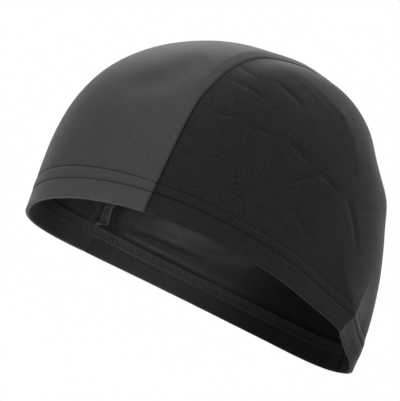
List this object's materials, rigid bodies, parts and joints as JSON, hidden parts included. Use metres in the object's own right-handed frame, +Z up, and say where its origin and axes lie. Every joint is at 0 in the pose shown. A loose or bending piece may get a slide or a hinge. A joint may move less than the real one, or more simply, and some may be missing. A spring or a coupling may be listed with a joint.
{
  "type": "swim cap",
  "caption": "Stretch fabric swim cap in its worn form: a tapering centre panel between D-shaped side panels, with a turned-up stitched hem and overlocked seams inside.",
  "frame": {"origin": "middle of the head opening, on the level of the hem's lowest points at brow and nape", "axes": "+Z up as worn, -Y toward the forehead, +X toward the wearer's left; the head opening is tilted 25 degrees, with the brow higher than the nape"},
  "size_m": [0.143, 0.1971, 0.1749],
  "materials": {
    "charcoal_knit": "smooth charcoal stretch knit with a soft satin sheen",
    "black_knit": "fine black stretch knit, matt with a faint sheen at grazing angles",
    "overlock_thread": "dark grey textured sewing thread over raw cloth edges"
  },
  "bodies": {
    "root": {"centre_panel": "charcoal_knit", "left_side_panel": "black_knit", "right_side_panel": "black_knit", "left_seam_allowance": "overlock_thread", "right_seam_allowance": "overlock_thread"}
  },
  "joints": []
}
